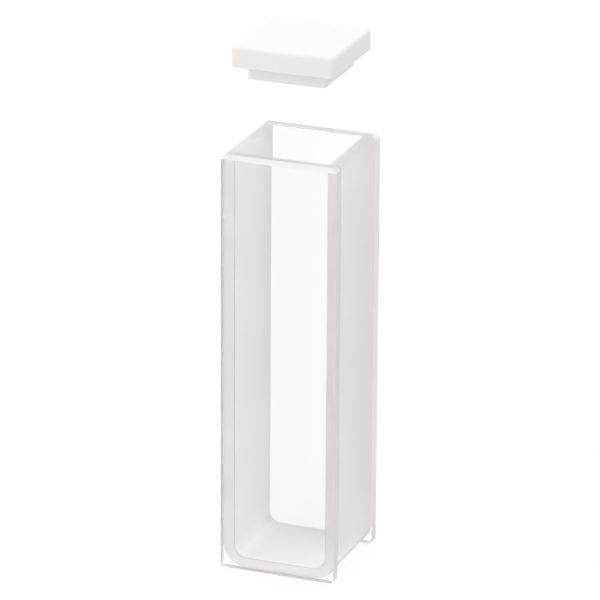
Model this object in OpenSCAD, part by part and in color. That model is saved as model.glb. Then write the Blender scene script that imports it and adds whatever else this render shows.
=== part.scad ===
// Absorption cell for a spectrophotometer: a square glass cuvette with two clear
// windows, a ground-glass frame between them, and a loose square lid with a plug.
//
// Millimetres, +Z up. The origin is at the centre of the base, where the cell
// stands. The light passes along Y, through the windows; the ground sides face X.

/* [Cell] */
// Height of the glass from the base to the rim
cell_h = 45; // [20:0.5:80]
// Distance the light travels inside the cell, between the windows
light_path = 10; // [5:0.5:20]
// Width of the glass across the ground sides
cell_w = 12.5; // [8:0.5:25]
// Size of the 45 degree bevel round the outside of the rim
rim_bevel = 0.4; // [0.1:0.05:0.6]

/* [Ground frame] */
// Thickness of the bent strip in the two side walls
side_wall = 1.25; // [0.8:0.05:2]
// Thickness of the bent strip in the floor
floor_t = 1.05; // [0.8:0.05:2]
// Radius of the outside of the strip where it turns from wall to floor
bend_r = 2.5; // [2.1:0.1:3.5]

/* [Windows] */
// Thickness of each clear plate
window_t = 1.25; // [0.8:0.05:2]
// Radius of the plate's two lower corners
foot_r = 0.4; // [0.1:0.05:1]

/* [Lid] */
// Distance that the cover's edge stays inside the outside of the cell
cover_inset = 0.75; // [0:0.05:0.9]
// Thickness of the cover
cover_t = 2.2; // [1:0.1:5]
// Radius of the cover's upright corners
cover_r = 0.5; // [0.2:0.1:1]
// Depth of the plug below the cover
plug_h = 1.5; // [1:0.1:5]
// Gap on each side between the plug and the inside of the mouth when the lid is on
plug_gap = 0.8; // [0.1:0.05:1]
// Radius of the plug's upright corners
plug_r = 0.4; // [0.2:0.1:1]
// Height of the lifted cover above the rim
lid_lift = 9.1; // [4:0.05:20]

/* [Hidden] */
$fn = 64;

// Outside depth of the cell: the light path and a window at each end
cell_d = light_path + 2 * window_t;
// Clear width inside, between the ground walls
bore_w = cell_w - 2 * side_wall;
// Sides of the cover, along X and Y
cover_size = [cell_w - 2 * cover_inset, cell_d - 2 * cover_inset];
// Sides of the plug, along X and Y
plug_size = [bore_w - 2 * plug_gap, light_path - 2 * plug_gap];
// How far cutting tools run past the surfaces that they cut
past = 1;

// Outline, wide on X and standing on Y = 0, with its two lower corners rounded
module rounded_foot(width, height, radius) {
    translate([-width / 2, radius]) square([width, height - radius]);
    translate([-width / 2 + radius, 0]) square([width - 2 * radius, radius]);
    for (side = [-1, 1])
        translate([side * (width / 2 - radius), radius]) circle(r = radius);
}

// Rectangle of the given sides, centred, with all four corners rounded
module rounded_rectangle(size, radius) {
    square([size[0], size[1] - 2 * radius], center = true);
    square([size[0] - 2 * radius, size[1]], center = true);
    for (x = [-1, 1], y = [-1, 1])
        translate([x * (size[0] / 2 - radius), y * (size[1] / 2 - radius)])
            circle(r = radius);
}

// Stands an outline up in the XZ plane and gives it a thickness along Y, from y
module upright(y, thickness) {
    translate([0, y + thickness, 0])
        rotate([90, 0, 0])
            linear_extrude(height = thickness) children();
}

// Outline of the whole height across one width, with the rim's outer edges bevelled
module bevelled_outline(width) {
    half = width / 2;
    polygon([
        [-half, -past],
        [half, -past],
        [half, cell_h - rim_bevel],
        [half - rim_bevel, cell_h],
        [-half + rim_bevel, cell_h],
        [-half, cell_h - rim_bevel]
    ]);
}

// Everything inside the bevelled rim, used to trim what reaches it
module rim_envelope() {
    intersection() {
        upright(-cell_d / 2 - past, cell_d + 2 * past) bevelled_outline(cell_w);
        rotate([0, 0, 90])
            upright(-cell_w / 2 - past, cell_w + 2 * past) bevelled_outline(cell_d);
    }
}

// Bent strip of ground glass: left wall, floor and right wall in one piece
module u_frame() {
    color("gainsboro")
        intersection() {
            upright(-light_path / 2, light_path)
                difference() {
                    rounded_foot(cell_w, cell_h, bend_r);
                    translate([0, floor_t])
                        rounded_foot(bore_w, cell_h, bend_r - max(side_wall, floor_t));
                }
            rim_envelope();
        }
}

// Clear plate whose inner face is at the given end of the light path
module window(side) {
    color("aliceblue", 0.4)
        intersection() {
            upright(side * light_path / 2 - (side < 0 ? window_t : 0), window_t)
                rounded_foot(cell_w, cell_h, foot_r);
            rim_envelope();
        }
}

module front_window() {
    window(-1);
}

module rear_window() {
    window(1);
}

// Loose lid, lifted clear of the mouth: a square cover and the plug under it
module lid() {
    color("white")
        translate([0, 0, cell_h + lid_lift]) {
            linear_extrude(height = cover_t) rounded_rectangle(cover_size, cover_r);
            translate([0, 0, -plug_h])
                linear_extrude(height = plug_h) rounded_rectangle(plug_size, plug_r);
        }
}

u_frame();
front_window();
rear_window();
lid();
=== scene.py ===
# %% [markdown]
# # A square glass cuvette with its lid lifted off
#
# The object is an absorption cell, the small glass box that a spectrophotometer shines
# its light through. A strip of ground glass, bent into a U, makes two walls and the
# floor. Two clear plates are fused to its edges and close the other two sides, and a
# loose lid of white PTFE with a square plug goes on the mouth.
#
# The CAD model is loaded first. It stays the measure of everything, so its box is kept
# here.

# %% Load the frame
import math

import bmesh
import bpy
from mathutils import Matrix, Vector


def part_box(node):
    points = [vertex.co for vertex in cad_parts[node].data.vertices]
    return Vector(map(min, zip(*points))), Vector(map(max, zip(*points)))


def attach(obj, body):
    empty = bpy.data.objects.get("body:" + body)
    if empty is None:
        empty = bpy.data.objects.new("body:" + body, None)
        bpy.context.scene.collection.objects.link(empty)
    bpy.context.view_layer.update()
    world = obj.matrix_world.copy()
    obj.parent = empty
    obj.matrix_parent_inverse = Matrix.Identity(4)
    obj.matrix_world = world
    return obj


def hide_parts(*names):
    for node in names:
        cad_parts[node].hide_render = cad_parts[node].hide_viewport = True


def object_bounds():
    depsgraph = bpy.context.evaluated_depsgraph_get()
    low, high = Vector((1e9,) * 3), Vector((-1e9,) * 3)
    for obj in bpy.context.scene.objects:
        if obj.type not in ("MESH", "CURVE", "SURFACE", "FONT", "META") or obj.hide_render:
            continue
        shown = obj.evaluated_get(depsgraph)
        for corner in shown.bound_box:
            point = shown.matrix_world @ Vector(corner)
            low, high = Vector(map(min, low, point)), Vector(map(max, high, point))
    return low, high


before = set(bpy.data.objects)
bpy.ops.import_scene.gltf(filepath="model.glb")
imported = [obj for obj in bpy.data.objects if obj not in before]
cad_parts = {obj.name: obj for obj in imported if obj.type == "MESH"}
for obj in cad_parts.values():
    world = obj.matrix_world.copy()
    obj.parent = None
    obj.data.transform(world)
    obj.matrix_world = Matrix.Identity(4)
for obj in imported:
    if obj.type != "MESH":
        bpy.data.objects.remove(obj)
cad_low, cad_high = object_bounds()
MM = 0.001
print("CAD box in mm:", [round(size / MM, 2) for size in cad_high - cad_low])

# %% [markdown]
# ## Sizes
#
# A cell is cut and fused to a few hundredths of a millimetre, because the light path has
# to be right. The sizes are therefore read from the CAD model: the outer boxes give the
# overall sizes, and the points of the frame's rim, underside and inside give the wall,
# the bevel, the bend and the floor. Only what the CAD leaves plain is a value of its own,
# such as how far a grinder's wheel or a cutter breaks each sharp edge.

# %% Measure the cell and the lid
HAIR = 1e-6


def corners(node, keep):
    """The CAD node's points that pass the test."""
    return [v.co.copy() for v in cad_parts[node].data.vertices if keep(v.co)]


strip_low, strip_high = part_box("u_frame")
plate_low, plate_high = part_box("front_window")
lid_low, lid_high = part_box("lid")

half_width = strip_high.x
half_path = strip_high.y
rim_z = strip_high.z
half_depth = -plate_low.y

rim_points = corners("u_frame", lambda p: p.z > rim_z - HAIR)
foot_points = corners("u_frame", lambda p: p.z < HAIR)
inside_points = corners("u_frame", lambda p: HAIR < p.z < rim_z / 2)
plate_feet = corners("front_window", lambda p: p.z < HAIR)
wall = half_width - min(abs(p.x) for p in rim_points)
bevel = half_width - max(abs(p.x) for p in rim_points)
bend_radius = half_width - max(abs(p.x) for p in foot_points)
foot_radius = half_width - max(abs(p.x) for p in plate_feet)
flat_half = min(abs(p.x) for p in inside_points)
floor_thickness = min(p.z for p in inside_points if abs(p.x) < flat_half + HAIR)

shoulder = corners("lid", lambda p: abs(p.x) > lid_high.x - HAIR)
cover_z = min(p.z for p in shoulder)
cover_radius = lid_high.y - max(p.y for p in shoulder)
plug_points = corners("lid", lambda p: p.z < lid_low.z + HAIR)
plug_x = max(p.x for p in plug_points)
plug_y = max(p.y for p in plug_points)
plug_radius = plug_y - max(p.y for p in plug_points if p.x > plug_x - HAIR)

for name, size in (
    ("wall", wall),
    ("floor", floor_thickness),
    ("rim bevel", bevel),
    ("bend radius", bend_radius),
    ("foot radius", foot_radius),
    ("cover thickness", lid_high.z - cover_z),
    ("plug depth", cover_z - lid_low.z),
    ("plug radius", plug_radius),
):
    print(f"{name}: {size / MM:.3f} mm")

# %% [markdown]
# ## Small tools
#
# Colours are written as the hex values that a colour picker shows, and one function
# turns them to the linear values that the renderer works in. Every node tree below is
# built with one function that adds a node, sets it up and links its inputs.

# %% Colour and node helpers


def linear(hex_colour):
    """An sRGB hex colour as linear RGBA."""
    out = []
    for start in (1, 3, 5):
        value = int(hex_colour[start : start + 2], 16) / 255
        out.append(value / 12.92 if value <= 0.04045 else ((value + 0.055) / 1.055) ** 2.4)
    return (*out, 1.0)


def add_node(tree, kind, inputs=None, **settings):
    """Adds a node. Each input is given a value, or the output socket that feeds it."""
    node = tree.nodes.new(kind)
    for name, value in settings.items():
        setattr(node, name, value)
    for key, value in (inputs or {}).items():
        if isinstance(value, bpy.types.NodeSocket):
            tree.links.new(value, node.inputs[key])
        else:
            node.inputs[key].default_value = value
    return node


def new_material(name):
    """An empty material with its output node."""
    material = bpy.data.materials.new(name)
    material.use_nodes = True
    material.node_tree.nodes.clear()
    return material, material.node_tree, add_node(material.node_tree, "ShaderNodeOutputMaterial")


print("helpers ready; white is", linear("#FFFFFF"))

# %% [markdown]
# ## Clear optical glass
#
# The windows are fused silica, ground flat and polished until light goes straight
# through. Silica has an index of refraction of 1.46. A polished face is a perfect
# mirror for the little light that it turns back, so the roughness is zero. The colour is
# a hair under white, which greys what is seen through a pane very slightly.

# %% Polished fused silica
SILICA_IOR = 1.46
polished_silica, tree, out = new_material("polished_fused_silica")
pane = add_node(
    tree,
    "ShaderNodeBsdfPrincipled",
    {
        "Base Color": linear("#FBFBFB"),
        "Roughness": 0.0,
        "IOR": SILICA_IOR,
        "Transmission Weight": 1.0,
    },
)
tree.links.new(pane.outputs["BSDF"], out.inputs["Surface"])
print("made", polished_silica.name)

# %% [markdown]
# ## Ground glass
#
# The U-shaped strip and the edges of the plates are ground with loose grit and left
# matt. The pits are too fine to see one by one, so light that meets them is scattered:
# most of it goes on through the wall in every direction, and a little comes straight
# back. That is a rough transmission with a small share of diffuse surface.
#
# The same recipe is used for each ground place, with its own colour, roughness and share
# of light that passes. The colour acts each time that light passes a face, so small
# differences add up. The strip's walls are white with a trace of pink. Its floor is a
# little rougher, and its colour is painted whiter: painted light, which stands in for
# the light that comes up through it from the sheet below. The plates' edges are painted
# greyer: painted shade, which stands in for the shade on these narrow faces. Their
# bevels and broken arrises are the roughest, and only half of the light is let through.
# The seams are a plain grey, so that they read as fine lines.
#
# Real pits are about 0.03 mm wide, too fine to be drawn from this distance. They are
# drawn at 0.12 mm, four times coarser than real, as a very shallow bump. A broader
# cloudiness, a few millimetres across, varies how rough the face is.

# %% Ground glass for the strip, the edges and the seams
GRIT = 0.12 * MM
GRIT_DEPTH = 0.02 * MM
CLOUD = 4.0 * MM
CLOUD_SWING = 0.06


def ground_glass(name, hex_colour, passes, roughness):
    """A ground face with its colour, the share of it that passes light and its roughness."""
    material, tree, out = new_material(name)
    place = add_node(tree, "ShaderNodeTexCoord").outputs["Object"]
    pits = add_node(
        tree,
        "ShaderNodeTexNoise",
        {"Vector": place, "Scale": 1 / GRIT, "Detail": 2.0, "Roughness": 0.6},
    )
    cloud = add_node(
        tree,
        "ShaderNodeTexNoise",
        {"Vector": place, "Scale": 1 / CLOUD, "Detail": 2.0, "Roughness": 0.5},
    )
    matt = add_node(
        tree,
        "ShaderNodeMapRange",
        {
            "Value": cloud.outputs["Fac"],
            "To Min": roughness - CLOUD_SWING,
            "To Max": roughness + CLOUD_SWING,
        },
    )
    bump = add_node(
        tree,
        "ShaderNodeBump",
        {"Height": pits.outputs["Fac"], "Strength": 0.15, "Distance": GRIT_DEPTH},
    )
    glass = add_node(
        tree,
        "ShaderNodeBsdfPrincipled",
        {
            "Base Color": linear(hex_colour),
            "Roughness": matt.outputs["Result"],
            "IOR": SILICA_IOR,
            "Transmission Weight": passes,
            "Normal": bump.outputs["Normal"],
        },
    )
    tree.links.new(glass.outputs["BSDF"], out.inputs["Surface"])
    return material


ground_strip = ground_glass("ground_glass_strip", "#F8F5F5", 0.92, 0.62)
# painted light: the floor's glass is painted whiter than the walls' glass, standing in for light
# from below
painted_light_floor_glass = ground_glass("ground_glass_floor_painted_light", "#FDFDFC", 0.92, 0.75)
# painted shade: the plates' edges are painted greyer than the strip's glass, standing in for shade
painted_shade_edge_glass = ground_glass("ground_glass_edge_painted_shade", "#EDEBEB", 0.85, 0.62)
broken_arris = ground_glass("broken_arris", "#FCFAFB", 0.5, 0.94)
fused_seam = ground_glass("fused_seam", "#B6B2B3", 0.4, 0.62)
for material in (ground_strip, painted_light_floor_glass, painted_shade_edge_glass, broken_arris, fused_seam):
    print("made", material.name)

# %% [markdown]
# ## PTFE
#
# The lid is cut from PTFE, a white plastic that looks slightly waxy because light goes a
# little way into it. Its surface is satin, never shiny. A small subsurface radius of
# under a millimetre softens its shading, and a faint cloudiness in the colour and a very
# shallow bump from the cutter keep the broad faces from looking printed.

# %% Milled PTFE
WAX_CLOUD = 3.0 * MM
CUTTER_MARK = 0.25 * MM
CUTTER_DEPTH = 0.02 * MM

milled_ptfe, tree, out = new_material("milled_ptfe")
place = add_node(tree, "ShaderNodeTexCoord").outputs["Object"]
cloud = add_node(
    tree,
    "ShaderNodeTexNoise",
    {"Vector": place, "Scale": 1 / WAX_CLOUD, "Detail": 2.0, "Roughness": 0.5},
)
tint = add_node(
    tree,
    "ShaderNodeMix",
    {"Factor": cloud.outputs["Fac"], 6: linear("#E0DEDC"), 7: linear("#E4E2E0")},
    data_type="RGBA",
)
tooling = add_node(
    tree,
    "ShaderNodeTexNoise",
    {"Vector": place, "Scale": 1 / CUTTER_MARK, "Detail": 1.0},
)
bump = add_node(
    tree,
    "ShaderNodeBump",
    {"Height": tooling.outputs["Fac"], "Strength": 0.1, "Distance": CUTTER_DEPTH},
)
ptfe = add_node(
    tree,
    "ShaderNodeBsdfPrincipled",
    {
        "Base Color": tint.outputs[2],
        "Roughness": 0.48,
        "IOR": 1.35,
        "Subsurface Weight": 0.25,
        "Subsurface Radius": (1.0, 0.9, 0.8),
        "Subsurface Scale": 0.6 * MM,
        "Normal": bump.outputs["Normal"],
    },
)
tree.links.new(ptfe.outputs["BSDF"], out.inputs["Surface"])
print("made", milled_ptfe.name)

# %% [markdown]
# ## The bent strip
#
# The frame is one strip of glass, softened by heat and bent twice, so its shape follows
# a rule: a rectangle carried along a U. Geometry Nodes say exactly that. Four corners
# make the U, a fillet rounds its two bends, and the strip's section is swept along it.
# A second fillet eases the section's four corners, which become the fine seams where the
# strip meets the plates. The CAD's floor is a little thinner than its walls, so the inner
# side of the section is marked, and its low part is let down by the difference. The two
# end faces are then pulled up by the height of the rim's bevel, with their outer edge
# moved in by as much, which is what a grinding wheel does to the rim.

# %% The tree that sweeps the strip
BEND_STEPS = 24
ARRIS_STEPS = 3
FACES_UP = 0.9


def strip_tree():
    """A Geometry Nodes tree that sweeps a rectangular strip along a U."""
    tree = bpy.data.node_groups.new("bent_strip", "GeometryNodeTree")
    sockets = tree.interface
    sockets.new_socket("Geometry", in_out="OUTPUT", socket_type="NodeSocketGeometry")
    lengths = ("Half width", "Height", "Depth", "Wall", "Floor", "Bend radius", "Bevel", "Arris")
    for name in lengths:
        sockets.new_socket(name, in_out="INPUT", socket_type="NodeSocketFloat")
    sockets.new_socket("Material", in_out="INPUT", socket_type="NodeSocketMaterial")
    given = add_node(tree, "NodeGroupInput").outputs

    def maths(operation, a, b=0.0):
        node = add_node(tree, "ShaderNodeMath", {0: a, 1: b}, operation=operation)
        return node.outputs[0]

    def point(x, z):
        return add_node(tree, "ShaderNodeCombineXYZ", {"X": x, "Z": z}).outputs[0]

    half_wall = maths("MULTIPLY", given["Wall"], 0.5)
    right = maths("SUBTRACT", given["Half width"], half_wall)
    left = maths("MULTIPLY", right, -1.0)
    top = maths("SUBTRACT", given["Height"], given["Bevel"])
    path = add_node(
        tree,
        "GeometryNodeCurvePrimitiveQuadrilateral",
        {
            "Point 1": point(left, top),
            "Point 2": point(left, half_wall),
            "Point 3": point(right, half_wall),
            "Point 4": point(right, top),
        },
        mode="POINTS",
    )
    opened = add_node(
        tree, "GeometryNodeSetSplineCyclic", {"Geometry": path.outputs[0], "Cyclic": False}
    )
    bent = add_node(
        tree,
        "GeometryNodeFilletCurve",
        {
            "Curve": opened.outputs[0],
            "Radius": maths("SUBTRACT", given["Bend radius"], half_wall),
            "Count": BEND_STEPS,
        },
        mode="POLY",
    )
    section = add_node(
        tree,
        "GeometryNodeCurvePrimitiveQuadrilateral",
        {"Width": given["Wall"], "Height": given["Depth"]},
        mode="RECTANGLE",
    )
    eased = add_node(
        tree,
        "GeometryNodeFilletCurve",
        {"Curve": section.outputs[0], "Radius": given["Arris"], "Count": ARRIS_STEPS},
        mode="POLY",
    )
    place = add_node(
        tree, "ShaderNodeSeparateXYZ", {0: add_node(tree, "GeometryNodeInputPosition").outputs[0]}
    )
    marked = add_node(tree, "GeometryNodeCaptureAttribute")
    marked.capture_items.new("FLOAT", "Inner")
    tree.links.new(eased.outputs[0], marked.inputs["Geometry"])
    tree.links.new(maths("GREATER_THAN", place.outputs["X"]), marked.inputs["Inner"])
    swept = add_node(
        tree,
        "GeometryNodeCurveToMesh",
        {"Curve": bent.outputs[0], "Profile Curve": marked.outputs[0], "Fill Caps": True},
    )
    low = maths("LESS_THAN", place.outputs["Z"], maths("MULTIPLY", given["Height"], 0.5))
    lowered = add_node(
        tree,
        "GeometryNodeSetPosition",
        {
            "Geometry": swept.outputs[0],
            "Selection": maths("MULTIPLY", marked.outputs["Inner"], low),
            "Offset": point(0.0, maths("SUBTRACT", given["Floor"], given["Wall"])),
        },
    )
    facing = add_node(
        tree, "ShaderNodeSeparateXYZ", {0: add_node(tree, "GeometryNodeInputNormal").outputs[0]}
    )
    upward = maths("GREATER_THAN", facing.outputs["Z"], FACES_UP)
    high = maths("GREATER_THAN", place.outputs["Z"], maths("MULTIPLY", given["Height"], 0.5))
    raised = add_node(
        tree,
        "GeometryNodeExtrudeMesh",
        {
            "Mesh": lowered.outputs[0],
            "Selection": maths("MULTIPLY", upward, high),
            "Offset Scale": given["Bevel"],
        },
        mode="FACES",
    )
    outer = maths("GREATER_THAN", maths("ABSOLUTE", place.outputs["X"]), right)
    side = maths("SIGN", place.outputs["X"])
    inward = maths("MULTIPLY", maths("MULTIPLY", side, given["Bevel"]), -1.0)
    bevelled = add_node(
        tree,
        "GeometryNodeSetPosition",
        {
            "Geometry": raised.outputs["Mesh"],
            "Selection": maths("MULTIPLY", raised.outputs["Top"], outer),
            "Offset": point(inward, 0.0),
        },
    )
    real = add_node(tree, "GeometryNodeRealizeInstances", {0: bevelled.outputs[0]})
    finished = add_node(
        tree,
        "GeometryNodeSetMaterial",
        {"Geometry": real.outputs[0], "Material": given["Material"]},
    )
    add_node(tree, "NodeGroupOutput", {0: finished.outputs[0]})
    return tree


strip_rule = strip_tree()
print("strip tree has", len(strip_rule.nodes), "nodes")

# %% [markdown]
# The tree runs as a modifier on an empty mesh. Its inputs are set by their identifiers,
# the evaluated result is taken out as a plain mesh, and the modifier is gone before the
# piece is handed to the frame. Two small functions finish the pieces. One breaks the
# edges that turn by more than 40 degrees. The other closes the mesh, turns its faces
# outwards and smooths the shading across turns of less than 12 degrees, so that it stays
# sharp where two flat faces meet.
#
# The strip stops a hair short of each plate, so that no two faces lie in one plane. The
# slanting face in each of its eased corners is the seam, a fine grey line. The floor and
# the lower half of the bends are told from the walls by facing up or down.

# %% Build the strip
ARRIS = 0.04 * MM
SHARP_TURN = math.radians(40)
SMOOTH_TURN = math.radians(12)


def mesh_from_tree(tree, values, name):
    """Runs a Geometry Nodes tree on an empty mesh and returns the result as a mesh."""
    carrier = bpy.data.objects.new(name + "_carrier", bpy.data.meshes.new(name + "_seed"))
    bpy.context.scene.collection.objects.link(carrier)
    modifier = carrier.modifiers.new("rule", "NODES")
    modifier.node_group = tree
    for socket in tree.interface.items_tree:
        if socket.name in values:
            modifier[socket.identifier] = values[socket.name]
    evaluated = carrier.evaluated_get(bpy.context.evaluated_depsgraph_get())
    mesh = bpy.data.meshes.new_from_object(evaluated)
    carrier.modifiers.remove(modifier)
    bpy.data.objects.remove(carrier)
    mesh.name = name
    return mesh


def break_edges(work, width):
    """Bevels each sharp edge of a closed bmesh by a small width."""
    sharp = [e for e in work.edges if e.calc_face_angle(0) > SHARP_TURN]
    bmesh.ops.bevel(
        work, geom=sharp, offset=width, segments=ARRIS_STEPS, profile=0.5, affect="EDGES"
    )


def finish_mesh(mesh, work):
    """Closes a bmesh, turns its faces outwards and writes it to the mesh, smooth shaded."""
    bmesh.ops.remove_doubles(work, verts=work.verts, dist=HAIR)
    bmesh.ops.recalc_face_normals(work, faces=work.faces)
    loose = [e for e in work.edges if not e.is_manifold]
    work.to_mesh(mesh)
    work.free()
    for face in mesh.polygons:
        face.use_smooth = True
    mesh.set_sharp_from_angle(angle=SMOOTH_TURN)
    print(f"{mesh.name}: {len(mesh.polygons)} faces, {len(loose)} open edges")


def place_piece(mesh, body, node):
    """Shows a mesh in place of its CAD node, riding on that node's body."""
    piece = bpy.data.objects.new(mesh.name, mesh)
    bpy.context.scene.collection.objects.link(piece)
    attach(piece, body)
    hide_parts(node)
    print(f"{piece.name} rides on {body}")


BOND = 0.005 * MM
SEAM = 0.1 * MM
SEAM_SLANT = (0.3, 0.95)
LEVEL_FACE = 0.7

strip = mesh_from_tree(
    strip_rule,
    {
        "Half width": half_width,
        "Height": rim_z,
        "Depth": 2 * (half_path - BOND),
        "Wall": wall,
        "Floor": floor_thickness,
        "Bend radius": bend_radius,
        "Bevel": bevel,
        "Arris": SEAM,
        "Material": ground_strip,
    },
    "ground_u_frame",
)
work = bmesh.new()
work.from_mesh(strip)
finish_mesh(strip, work)
strip.materials.append(fused_seam)
# the floor's glass, painted whiter as painted light
strip.materials.append(painted_light_floor_glass)
for face in strip.polygons:
    if SEAM_SLANT[0] < abs(face.normal.y) < SEAM_SLANT[1]:
        face.material_index = 1
    elif abs(face.normal.z) > LEVEL_FACE and face.center.z < bend_radius:
        face.material_index = 2
place_piece(strip, "cell", "u_frame")

# %% [markdown]
# ## The windows
#
# Each window is a plate as wide and as tall as the cell. It stands proud of the strip's
# round bends, so its two lower corners are the cell's feet. A box is the right start:
# the feet get a small radius, and the rim's three outer edges the same 45 degree bevel
# as the strip. Then the arrises are broken. The two broad faces are polished and
# everything else stays ground, so the faces are sorted by which way they look. The
# narrow sides are square to an axis. The slanting faces are the bevels, the rounds of
# the feet and the broken arrises, and they share the coarsest finish.

# %% Build the two windows
SQUARE = 0.99
FOOT_STEPS = 8


def plate_mesh(side, name):
    """A window plate at the front (-1) or the back (1) of the cell."""
    inner, outer = side * (half_path + BOND), side * half_depth
    size = Vector((2 * half_width, half_depth - half_path - BOND, rim_z))
    centre = Vector((0, (inner + outer) / 2, rim_z / 2))
    work = bmesh.new()
    bmesh.ops.create_cube(
        work, size=1, matrix=Matrix.Translation(centre) @ Matrix.Diagonal((*size, 1))
    )
    feet, rim = [], []
    for edge in work.edges:
        middle = (edge.verts[0].co + edge.verts[1].co) / 2
        if abs(middle.x) > half_width - HAIR and middle.z < HAIR:
            feet.append(edge)
        if middle.z > rim_z - HAIR and abs(middle.y - inner) > HAIR:
            rim.append(edge)
    cut = {"profile": 0.5, "affect": "EDGES"}
    bmesh.ops.bevel(work, geom=feet, offset=foot_radius, segments=FOOT_STEPS, **cut)
    rim = [e for e in rim if e.is_valid]
    bmesh.ops.bevel(work, geom=rim, offset=bevel, segments=1, **cut)
    break_edges(work, ARRIS)
    mesh = bpy.data.meshes.new(name)
    finish_mesh(mesh, work)
    # the edges' glass is painted greyer, as painted shade
    for material in (polished_silica, painted_shade_edge_glass, broken_arris):
        mesh.materials.append(material)
    for face in mesh.polygons:
        if abs(face.normal.y) > SQUARE:
            face.material_index = 0
        elif max(abs(face.normal.x), abs(face.normal.z)) > SQUARE:
            face.material_index = 1
        else:
            face.material_index = 2
    return mesh


for side, name, node in (
    (-1, "clear_front_window", "front_window"),
    (1, "clear_rear_window", "rear_window"),
):
    place_piece(plate_mesh(side, name), "cell", node)

# %% [markdown]
# ## The lid
#
# The lid is one block, so it is one closed mesh: a stack of rounded rectangles, one for
# each height, joined ring to ring. Its edges are rounded, and the stack follows them:
# round the top edge of the cover, down its side, round its lower edge, in to the plug,
# down the plug, and round its end. A ring just inside each flat face keeps the shading
# of that face flat.

# %% Build the lid
COVER_EDGE = 0.35 * MM
UNDER_EDGE = 0.18 * MM
PLUG_EDGE = 0.2 * MM
GUARD = 0.05 * MM
LEAST_RADIUS = 0.1 * MM
EDGE_STEPS = 6
CORNER_STEPS = 8


def rounded_ring(half_x, half_y, radius, z):
    """Points of a rounded rectangle, anticlockwise from above."""
    points = []
    for quarter, (sx, sy) in enumerate(((1, 1), (-1, 1), (-1, -1), (1, -1))):
        for step in range(CORNER_STEPS + 1):
            turn = math.radians(90) * (quarter + step / CORNER_STEPS)
            points.append(
                Vector(
                    (
                        sx * (half_x - radius) + radius * math.cos(turn),
                        sy * (half_y - radius) + radius * math.sin(turn),
                        z,
                    )
                )
            )
    return points


def edge_profile(radius, top, downward):
    """Inset and height along a rounded edge, from the flat face to the side wall."""
    steps = [math.radians(90) * step / EDGE_STEPS for step in range(EDGE_STEPS + 1)]
    sign = -1 if downward else 1
    profile = [(radius + GUARD, top)]
    profile += [
        (radius * (1 - math.sin(turn)), top + sign * radius * (1 - math.cos(turn)))
        for turn in steps
    ]
    return profile


def lid_mesh(name):
    """The cover and the plug as one closed skin of stacked rings."""
    cover = edge_profile(COVER_EDGE, lid_high.z, True)
    cover += list(reversed(edge_profile(UNDER_EDGE, cover_z, False)))
    rings = [
        rounded_ring(
            lid_high.x - inset, lid_high.y - inset, max(cover_radius - inset, LEAST_RADIUS), z
        )
        for inset, z in cover
    ]
    plug = [(-GUARD, cover_z), (0.0, cover_z)]
    plug += list(reversed(edge_profile(PLUG_EDGE, lid_low.z, False)))
    rings += [
        rounded_ring(plug_x - inset, plug_y - inset, max(plug_radius - inset, LEAST_RADIUS), z)
        for inset, z in plug
    ]
    work = bmesh.new()
    loops = [[work.verts.new(point) for point in ring] for ring in rings]
    for upper, lower in zip(loops, loops[1:]):
        for i in range(len(upper)):
            work.faces.new((upper[i - 1], lower[i - 1], lower[i], upper[i]))
    work.faces.new(loops[0])
    work.faces.new(list(reversed(loops[-1])))
    mesh = bpy.data.meshes.new(name)
    finish_mesh(mesh, work)
    mesh.materials.append(milled_ptfe)
    return mesh


place_piece(lid_mesh("ptfe_lid"), "lid", "lid")

# %% [markdown]
# ## Floor, light and camera
#
# Glass shows what is round it, so a clear cell is lit by a whole bright room and not by
# lamps. The floor is a light table with a sheet on it. Most of its white is its own glow
# and only a little is light that it turns back, so the cell throws almost no shadow, and
# light comes up through the ground glass. It lies a hair below the base, so that no two
# faces lie in one plane.

# %% White floor
FLOOR_REACH = 40 * (cad_high.z - cad_low.z)
FLOOR_GAP = 0.03 * MM
floor_mesh = bpy.data.meshes.new("floor")
floor_mesh.from_pydata(
    [
        (x * FLOOR_REACH, y * FLOOR_REACH, cad_low.z - FLOOR_GAP)
        for x, y in ((-1, -1), (1, -1), (1, 1), (-1, 1))
    ],
    [],
    [(0, 1, 2, 3)],
)
paper, tree, out = new_material("white_paper_floor")
sheet = add_node(
    tree,
    "ShaderNodeBsdfPrincipled",
    {
        "Base Color": linear("#606060"),
        "Roughness": 1.0,
        "Specular IOR Level": 0.0,
        "Emission Color": linear("#FFFFFF"),
        "Emission Strength": 0.88,
    },
)
tree.links.new(sheet.outputs["BSDF"], out.inputs["Surface"])
floor_mesh.materials.append(paper)
floor = bpy.data.objects.new("floor", floor_mesh)
bpy.context.scene.collection.objects.link(floor)
print("floor reaches", round(FLOOR_REACH, 2), "m each way")

# %% [markdown]
# The sky is a smooth dome, brightest overhead. A grey flag stands on the right and takes
# away more and more of the light towards that side, which leaves the ground walls and
# the lid's sides a little darker than the sheet. The camera sees the dome as plain white.
#
# Light that enters ground glass is led along inside it and meets many faces before it
# gets out. The limits on bounces are raised for that. With fewer, the plates' edges and
# the rim come out clearly darker, and the ground walls very slightly.

# %% Sky dome
SKY_LEVEL = 1.32
SKY_RISE = Vector((0.32, 0.04, 0.26))
FLAG_LEVEL = 1.13
GUIDED_BOUNCES = 128

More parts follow.
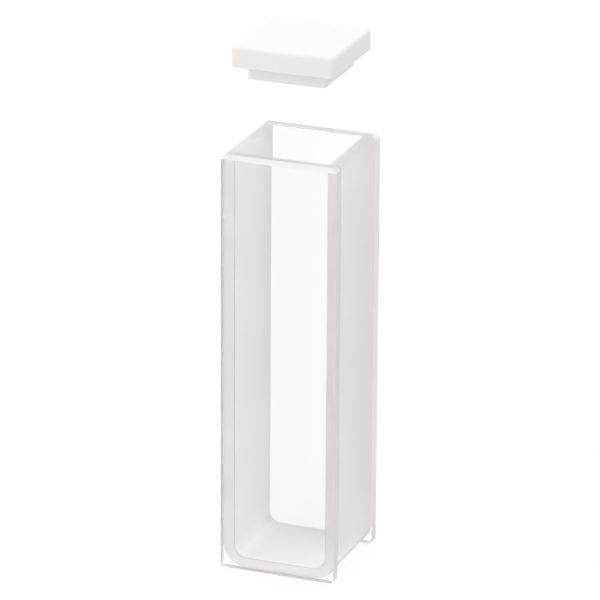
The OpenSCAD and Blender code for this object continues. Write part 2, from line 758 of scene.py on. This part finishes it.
world = bpy.data.worlds.new("soft_dome")
bpy.context.scene.world = world
world.use_nodes = True
tree = world.node_tree
tree.nodes.clear()
ahead = add_node(tree, "ShaderNodeTexCoord").outputs["Generated"]
slope = add_node(tree, "ShaderNodeVectorMath", {0: ahead, 1: SKY_RISE}, operation="DOT_PRODUCT")
level = add_node(tree, "ShaderNodeMath", {0: slope.outputs["Value"], 1: SKY_LEVEL}, operation="ADD")
across = add_node(tree, "ShaderNodeSeparateXYZ", {0: ahead})
right = add_node(tree, "ShaderNodeMath", {0: across.outputs["X"], 1: 0.0}, operation="MAXIMUM")
flag = add_node(tree, "ShaderNodeMath", {0: right.outputs[0], 1: FLAG_LEVEL}, operation="MULTIPLY")
shaded = add_node(
    tree, "ShaderNodeMath", {0: level.outputs[0], 1: flag.outputs[0]}, operation="SUBTRACT"
)
seen = add_node(tree, "ShaderNodeLightPath").outputs["Is Camera Ray"]
strength = add_node(
    tree, "ShaderNodeMix", {0: seen, 2: shaded.outputs[0], 3: 1.0}, data_type="FLOAT"
)
sky = add_node(
    tree,
    "ShaderNodeBackground",
    {"Color": linear("#FFFFFF"), "Strength": strength.outputs[0]},
)
add_node(tree, "ShaderNodeOutputWorld", {"Surface": sky.outputs[0]})
bpy.context.scene.view_settings.view_transform = "Standard"
cycles = bpy.context.scene.cycles
cycles.max_bounces = GUIDED_BOUNCES
cycles.glossy_bounces = GUIDED_BOUNCES
cycles.transmission_bounces = GUIDED_BOUNCES
cycles.diffuse_bounces = GUIDED_BOUNCES
print("sky level", SKY_LEVEL, "rise", tuple(SKY_RISE), "flag", FLAG_LEVEL)

# %% [markdown]
# The camera stands well back with a long lens, so that the uprights stay almost parallel.
# It looks down on the cell from in front and a little to the right, which shows one
# window, one ground side and the mouth.

# %% Camera
AZIMUTH = math.radians(21.1)
ELEVATION = math.radians(20.4)
ROLL = math.radians(0.33)
DISTANCE = 0.527
LENS = 309.0

middle = (cad_low + cad_high) / 2
away = Vector(
    (
        math.sin(AZIMUTH) * math.cos(ELEVATION),
        -math.cos(AZIMUTH) * math.cos(ELEVATION),
        math.sin(ELEVATION),
    )
)
lens = bpy.data.cameras.new("camera")
lens.lens = LENS
lens.sensor_width = 36.0
lens.clip_start = 0.01
lens.clip_end = 100.0
camera = bpy.data.objects.new("camera", lens)
bpy.context.scene.collection.objects.link(camera)
aim = away.to_track_quat("Z", "Y").to_matrix().to_4x4()
camera.matrix_world = (
    Matrix.Translation(middle + away * DISTANCE) @ aim @ Matrix.Rotation(ROLL, 4, "Z")
)
bpy.context.scene.camera = camera
print("camera", [round(v, 3) for v in camera.location], "lens", LENS)
